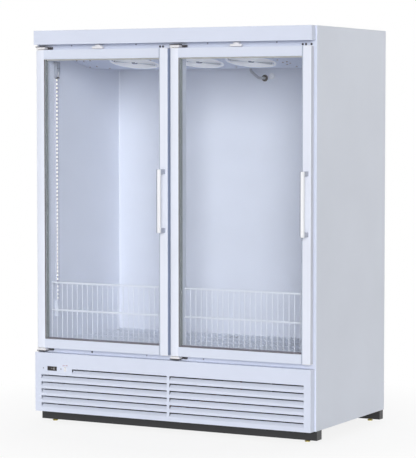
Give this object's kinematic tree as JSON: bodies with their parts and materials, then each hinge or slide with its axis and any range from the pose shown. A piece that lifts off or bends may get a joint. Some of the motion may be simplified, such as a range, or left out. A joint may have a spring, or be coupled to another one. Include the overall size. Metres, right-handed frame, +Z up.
{
  "type": "ice merchandiser freezer",
  "caption": "Upright glass-door ice merchandiser freezer: insulated cabinet, hinged glass doors, louvered base panel with controls, fan evaporator and levelling feet.",
  "frame": {"origin": "on the floor at the middle of the footprint, between the handles' fronts and the back panel", "axes": "+X to the right across the front, +Y from the front to the back, +Z up"},
  "size_m": [1.44, 0.848, 1.832],
  "materials": {
    "painted_side": "satin powder coat",
    "painted_front": "satin powder coat",
    "painted_door": "satin powder coat on aluminium",
    "galvanised": "zinc coated sheet",
    "foam": "rigid foam",
    "liner_paint": "painted steel liner",
    "grey_pvc": "grey extruded plastic",
    "black_plastic": "glossy",
    "white_plastic": "moulded",
    "black_steel": "black paint",
    "rubber": "matte",
    "coil_aluminium": "finned coil",
    "shroud_steel": "painted sheet",
    "dark_motor": "enamel",
    "fan_grey": "pressed blades",
    "fan_white": "moulded",
    "copper": "copper tube",
    "coated_wire": "plastic coated wire",
    "hose_grey": "flexible tube",
    "lamp_diffuser": "diffuser",
    "holder_grey": "moulded",
    "dark_steel": "dark bracket",
    "screw_steel": "screw heads",
    "brass": "levelling feet",
    "glass": "clear heated glass",
    "gasket": "magnetic gasket",
    "handle_paint": "powder coat",
    "nylon": "nylon"
  },
  "bodies": {
    "cabinet": {"side_panel_left": "painted_side", "side_panel_right": "painted_side", "top_panel": "painted_front", "back_panel": "galvanised", "insulation": "foam", "liner": "liner_paint", "face_frame": "painted_front", "center_mullion": "painted_front", "breaker_strips": "grey_pvc", "header": "painted_front", "louver_panel": "painted_front", "control_display": "black_plastic", "switch_bezel": "white_plastic", "base_rails": "black_steel", "compartment_sheets": "galvanised", "rear_grille": "galvanised", "power_inlet": "black_plastic", "compressor": "black_steel", "compressor_grommets": "rubber", "condenser_coil": "coil_aluminium", "condenser_shroud": "shroud_steel", "condenser_fan_motor": "dark_motor", "refrigerant_lines": "copper", "condensate_pan": "shroud_steel", "electrical_box": "galvanised", "evaporator_cover": "liner_paint", "evaporator_coil": "coil_aluminium", "evaporator_motors": "dark_motor", "fan_guards": "coated_wire", "drain_tube": "hose_grey", "wall_fittings": "rubber", "led_tubes": "lamp_diffuser", "led_holders": "holder_grey", "floor_racks": "coated_wire", "retainer_fences": "coated_wire", "hinge_brackets": "dark_steel", "hinge_covers": "white_plastic", "door_switches": "white_plastic", "cabinet_screws": "screw_steel"},
    "left_door": {"left_door_frame": "painted_door", "left_door_profile": "grey_pvc", "left_door_glass": "glass", "left_door_gasket": "gasket", "left_door_handle": "handle_paint", "left_door_bushes": "nylon"},
    "right_door": {"right_door_frame": "painted_door", "right_door_profile": "grey_pvc", "right_door_glass": "glass", "right_door_gasket": "gasket", "right_door_handle": "handle_paint", "right_door_bushes": "nylon"},
    "condenser_fan": {"condenser_fan": "fan_grey"},
    "evaporator_fan_left": {"evaporator_fan_left": "fan_white"},
    "evaporator_fan_mid": {"evaporator_fan_mid": "fan_white"},
    "evaporator_fan_right": {"evaporator_fan_right": "fan_white"},
    "rocker": {"rocker_switch": "white_plastic"},
    "foot_front_left": {"foot_front_left": "brass"},
    "foot_front_right": {"foot_front_right": "brass"},
    "foot_rear_left": {"foot_rear_left": "brass"},
    "foot_rear_right": {"foot_rear_right": "brass"}
  },
  "joints": [
    {"name": "left_door_hinge", "type": "hinge", "parent": "cabinet", "child": "left_door", "pos_m": [-0.696, -0.357, 0.352], "axis": [0, 0, -1], "range_deg": [0, 90], "stiffness_Nm_per_rad": 2, "springref_deg": -8.59},
    {"name": "right_door_hinge", "type": "hinge", "parent": "cabinet", "child": "right_door", "pos_m": [0.017, -0.357, 0.352], "axis": [0, 0, -1], "range_deg": [0, 90], "stiffness_Nm_per_rad": 2, "springref_deg": -8.59},
    {"name": "evaporator_fan_left_spin", "type": "hinge", "parent": "cabinet", "child": "evaporator_fan_left", "pos_m": [-0.361, -0.048, 1.6865], "axis": [0, 0.1937, 0.9811], "continuous": true},
    {"name": "evaporator_fan_mid_spin", "type": "hinge", "parent": "cabinet", "child": "evaporator_fan_mid", "pos_m": [-0.016, -0.048, 1.6865], "axis": [0, 0.1937, 0.9811], "continuous": true},
    {"name": "evaporator_fan_right_spin", "type": "hinge", "parent": "cabinet", "child": "evaporator_fan_right", "pos_m": [0.254, -0.048, 1.6865], "axis": [0, 0.1937, 0.9811], "continuous": true},
    {"name": "condenser_fan_spin", "type": "hinge", "parent": "cabinet", "child": "condenser_fan", "pos_m": [-0.26, -0.19, 0.1762], "axis": [0, 1, 0], "continuous": true},
    {"name": "rocker_pivot", "type": "hinge", "parent": "cabinet", "child": "rocker", "pos_m": [-0.548, -0.372, 0.258], "axis": [-1, 0, 0], "range_deg": [0, 14]},
    {"name": "foot_front_left_screw", "type": "slide", "parent": "cabinet", "child": "foot_front_left", "axis": [0, 0, -1], "range_m": [0, 0.015]},
    {"name": "foot_front_right_screw", "type": "slide", "parent": "cabinet", "child": "foot_front_right", "axis": [0, 0, -1], "range_m": [0, 0.015]},
    {"name": "foot_rear_left_screw", "type": "slide", "parent": "cabinet", "child": "foot_rear_left", "axis": [0, 0, -1], "range_m": [0, 0.015]},
    {"name": "foot_rear_right_screw", "type": "slide", "parent": "cabinet", "child": "foot_rear_right", "axis": [0, 0, -1], "range_m": [0, 0.015]}
  ]
}
